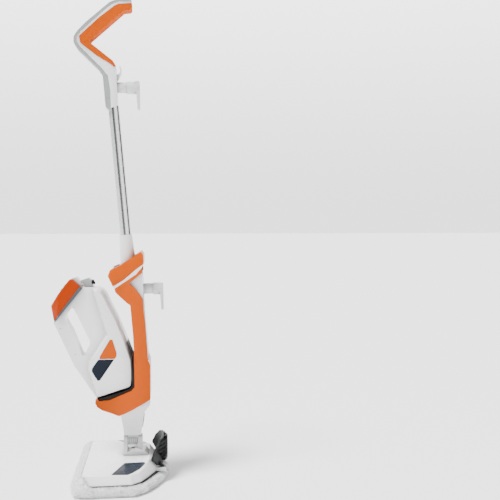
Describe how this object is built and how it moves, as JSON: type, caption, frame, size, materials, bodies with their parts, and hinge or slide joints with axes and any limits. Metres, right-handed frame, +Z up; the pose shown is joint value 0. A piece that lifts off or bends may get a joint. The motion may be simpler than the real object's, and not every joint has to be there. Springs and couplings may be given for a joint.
{
  "type": "steam mop",
  "caption": "Upright steam mop with a swivelling floor head, a fluffy pad, a flip-down scrubber and a lift-off hand steamer leaning out of its cradle.",
  "frame": {"origin": "on the floor under the neck's tilt axle, midway between the head's sides", "axes": "+Z up, -Y towards the front of the head, +Y towards the user behind the mop, +X to the side with the filling flap"},
  "size_m": [0.3, 0.2809, 1.17],
  "materials": {
    "white_shell": "moulded gloss white",
    "white_matte": "moulded satin light grey",
    "orange_shell": "moulded gloss orange",
    "orange_grip": "soft satin orange",
    "silver_trim": "silver paint on plastic",
    "grey_trim": "satin grey",
    "button_grey": "satin light grey",
    "pole_metal": "satin drawn tube",
    "pad_fibre": "fluffy microfibre",
    "hook_fabric": "hook-and-loop strip",
    "dark_window": "dark tinted clear plastic",
    "dark_plastic": "textured dark plastic",
    "bristle": "nylon bristles",
    "seal_rubber": "silicone rubber",
    "steel": "plain steel",
    "inner_plastic": "plain moulding"
  },
  "bodies": {
    "head": {"mop_pad": "pad_fibre", "hook_strips": "hook_fabric", "base_plate": "white_matte", "head_gasket": "seal_rubber", "head_cover": "white_shell", "left_window": "dark_window", "right_window": "dark_window", "pivot_bracket": "white_shell", "tilt_axle": "steel", "steam_manifold": "inner_plastic", "head_screws": "steel", "scrubber_brackets": "white_matte", "scrubber_pins": "steel"},
    "scrubber": {"scrubber_plate": "dark_plastic", "scrubber_bristles": "bristle"},
    "yoke": {"yoke": "white_shell", "swivel_pin": "steel"},
    "upright": {"ribbed_sleeve": "white_matte", "neck_tube": "white_shell", "neck_hose": "seal_rubber", "cradle_frame": "orange_shell", "cup_liner": "dark_plastic", "spine": "white_shell", "collar": "orange_shell", "collar_stripe": "white_shell", "dock_seal": "seal_rubber", "lower_sleeve": "white_shell", "pole_tube": "pole_metal", "handle_stem": "white_shell", "grip_insert": "orange_grip", "grip_trim": "silver_trim", "cord_clip": "white_shell", "hook_posts": "white_matte", "hook_screws": "steel"},
    "head_release": {"release_latch": "grey_trim"},
    "unit_release": {"collar_button": "silver_trim"},
    "upper_cord_hook": {"upper_hook": "white_matte"},
    "lower_cord_hook": {"lower_hook": "white_matte"},
    "hand_unit": {"unit_shell_left": "white_shell", "unit_shell_right": "white_shell", "unit_base": "dark_plastic", "unit_cap": "orange_shell", "cap_stripe": "grey_trim", "cap_lid": "white_shell", "control_panel": "grey_trim", "outlet_housing": "silver_trim", "steam_outlet": "dark_plastic", "outlet_seal": "seal_rubber", "water_tank": "inner_plastic", "pump": "inner_plastic", "boiler": "steel", "circuit_board": "inner_plastic", "tank_windows": "dark_window", "side_badge": "orange_shell", "unit_screws": "steel", "cord_gland": "grey_trim"},
    "flap": {"fill_flap": "orange_shell"},
    "low_steam": {"steam_button_1": "button_grey"},
    "mid_steam": {"steam_button_2": "button_grey"},
    "high_steam": {"steam_button_3": "button_grey"}
  },
  "joints": [
    {"name": "scrubber_flip", "type": "hinge", "parent": "head", "child": "scrubber", "pos_m": [0, 0.078, 0.031], "axis": [-1, 0, 0], "range_deg": [0, 105]},
    {"name": "neck_tilt", "type": "hinge", "parent": "head", "child": "yoke", "pos_m": [0, 0.006, 0.033], "axis": [-1, 0, 0], "range_deg": [0, 26]},
    {"name": "neck_swivel", "type": "hinge", "parent": "yoke", "child": "upright", "pos_m": [0, 0, 0.09], "axis": [0, 1, 0], "range_deg": [-40, 40]},
    {"name": "head_release_press", "type": "slide", "parent": "upright", "child": "head_release", "axis": [0, -1, 0], "range_m": [0, 0.002], "stiffness_N_per_m": 800},
    {"name": "unit_release_press", "type": "slide", "parent": "upright", "child": "unit_release", "axis": [0, 0.3907, -0.9205], "range_m": [0, 0.0025], "stiffness_N_per_m": 800},
    {"name": "upper_hook_turn", "type": "hinge", "parent": "upright", "child": "upper_cord_hook", "pos_m": [0, 0, 0.9595], "axis": [0, 1, 0], "range_deg": [0, 180]},
    {"name": "lower_hook_turn", "type": "hinge", "parent": "upright", "child": "lower_cord_hook", "pos_m": [0, 0, 0.467], "axis": [0, 1, 0], "range_deg": [0, 180]},
    {"name": "unit_dock_tilt", "type": "hinge", "parent": "upright", "child": "hand_unit", "pos_m": [0, -0.08, 0.207], "axis": [-1, 0, 0], "range_deg": [0, 16]},
    {"name": "flap_open", "type": "hinge", "parent": "hand_unit", "child": "flap", "pos_m": [0.0424, -0.05, 0.301], "axis": [0, 1, 0], "range_deg": [0, 100]},
    {"name": "low_steam_press", "type": "slide", "parent": "hand_unit", "child": "low_steam", "axis": [0, 0.7976, -0.6032], "range_m": [0, 0.0012], "stiffness_N_per_m": 500},
    {"name": "mid_steam_press", "type": "slide", "parent": "hand_unit", "child": "mid_steam", "axis": [0, 0.7976, -0.6032], "range_m": [0, 0.0012], "stiffness_N_per_m": 500},
    {"name": "high_steam_press", "type": "slide", "parent": "hand_unit", "child": "high_steam", "axis": [0, 0.7976, -0.6032], "range_m": [0, 0.0012], "stiffness_N_per_m": 500}
  ]
}
